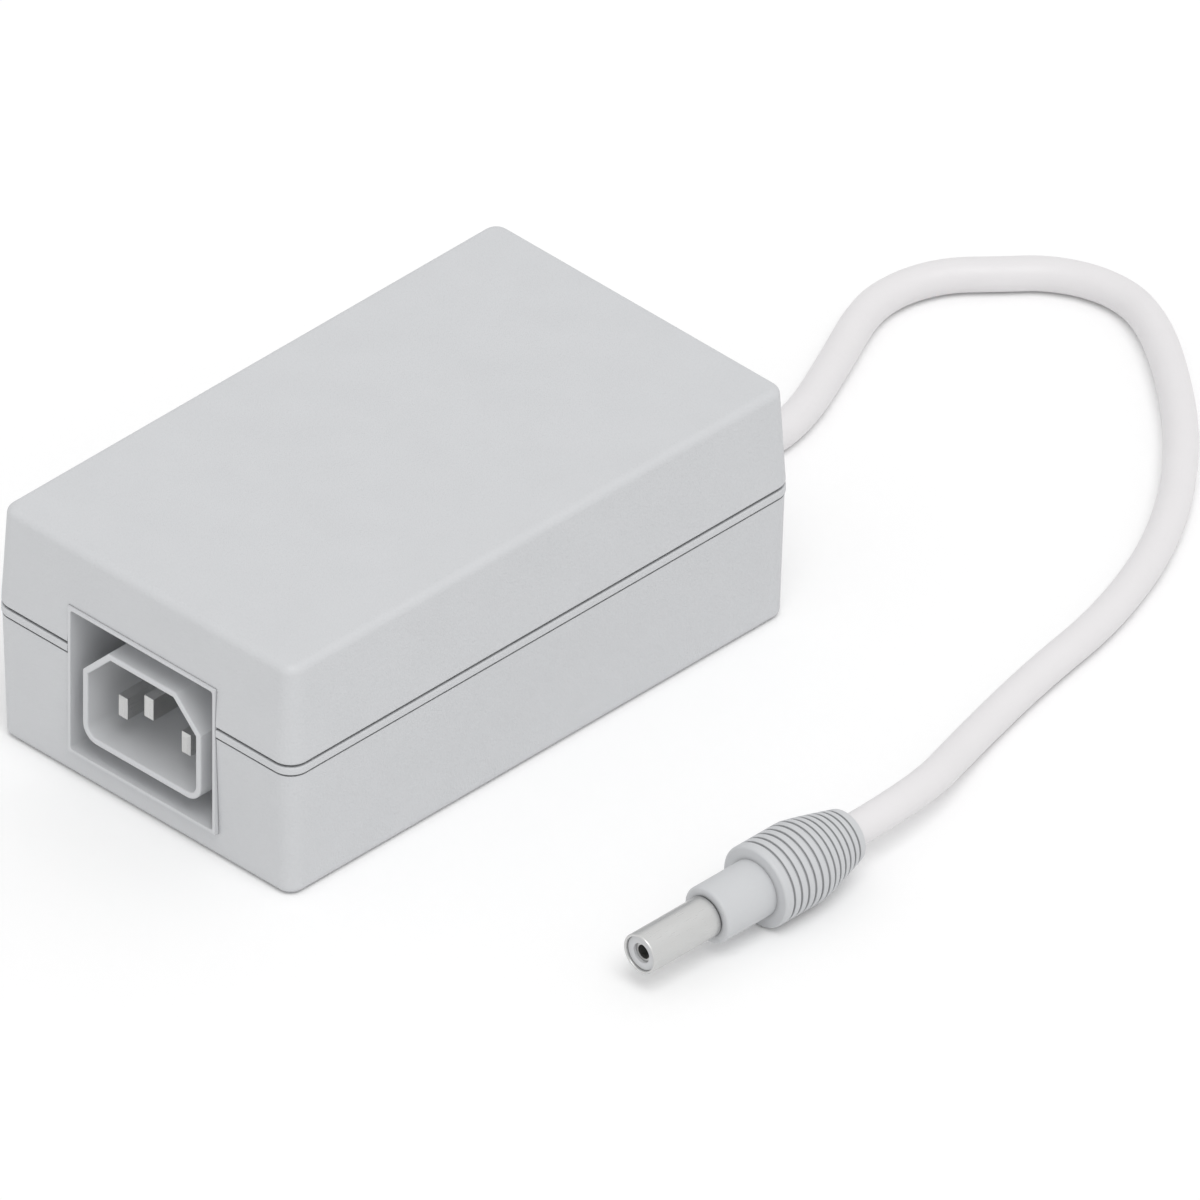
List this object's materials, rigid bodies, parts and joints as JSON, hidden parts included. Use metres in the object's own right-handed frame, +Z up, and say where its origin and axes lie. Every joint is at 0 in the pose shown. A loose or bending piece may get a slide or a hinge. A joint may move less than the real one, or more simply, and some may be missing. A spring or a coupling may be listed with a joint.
{
  "type": "power supply",
  "caption": "Desktop power supply in a two-part case with a recessed mains inlet, and a low-voltage cord that ends in a barrel plug.",
  "frame": {"origin": "centre of the case's underside, cord and plug not counted", "axes": "+Z up, +Y along the case towards the cord end, -Y out of the mains inlet, +X across the case"},
  "size_m": [0.1289, 0.2095, 0.0437],
  "materials": {
    "case_plastic": "fine spark texture, light grey",
    "inlet_plastic": "fine satin, light grey",
    "plug_plastic": "satin soft plastic, light grey",
    "cord_jacket": "smooth soft plastic, very light grey",
    "plated_metal": "nickel plated",
    "screw_steel": "zinc plated",
    "board_laminate": "lacquered glass laminate, green",
    "sheet_film": "translucent film",
    "ferrite": "sintered, dark grey",
    "copper_wire": "enamelled copper",
    "tape_yellow": "polyester tape, yellow",
    "moulding_black": "black moulding compound",
    "sleeve_dark": "shrunk sleeve, near black",
    "box_yellow": "boxed capacitor, yellow",
    "lacquer_green": "dipped lacquer, dark green",
    "lacquer_blue": "dipped lacquer, blue",
    "sink_metal": "extruded, bare",
    "package_body": "black moulding compound with plated tab",
    "resistor_body": "pale blue lacquer",
    "lead_red": "red insulation",
    "lead_black": "black insulation",
    "insulator_grey": "satin plastic, light grey"
  },
  "bodies": {
    "root": {"lower_shell": "case_plastic", "upper_shell": "case_plastic", "inlet_housing": "inlet_plastic", "line_pin": "plated_metal", "neutral_pin": "plated_metal", "earth_pin": "plated_metal", "case_screws": "screw_steel", "circuit_board": "board_laminate", "board_screws": "screw_steel", "insulation_sheet": "sheet_film", "fuse": "moulding_black", "thermistor": "lacquer_green", "varistor": "lacquer_blue", "mains_capacitor": "box_yellow", "choke_base": "moulding_black", "choke_core": "lacquer_green", "choke_winding_line": "copper_wire", "choke_winding_neutral": "copper_wire", "bridge_rectifier": "moulding_black", "bulk_capacitor": "sleeve_dark", "primary_heatsink": "sink_metal", "secondary_heatsink": "sink_metal", "switching_transistor": "package_body", "output_rectifier": "package_body", "primary_sink_screw": "screw_steel", "secondary_sink_screw": "screw_steel", "transformer_core_front": "ferrite", "transformer_core_rear": "ferrite", "transformer_bobbin": "moulding_black", "transformer_winding": "copper_wire", "transformer_tape": "tape_yellow", "control_chip": "moulding_black", "optocoupler": "moulding_black", "output_capacitor_1": "sleeve_dark", "output_capacitor_2": "sleeve_dark", "filter_core": "ferrite", "filter_winding": "copper_wire", "safety_capacitor": "lacquer_blue", "snubber_resistor": "resistor_body", "bleeder_resistor": "resistor_body", "positive_lead": "lead_red", "negative_lead": "lead_black", "strain_relief": "plug_plastic", "dc_cord": "cord_jacket", "plug_grip": "plug_plastic", "plug_collar": "plug_plastic", "plug_barrel": "plated_metal", "plug_insulator": "insulator_grey", "plug_contact": "plated_metal"}
  },
  "joints": []
}
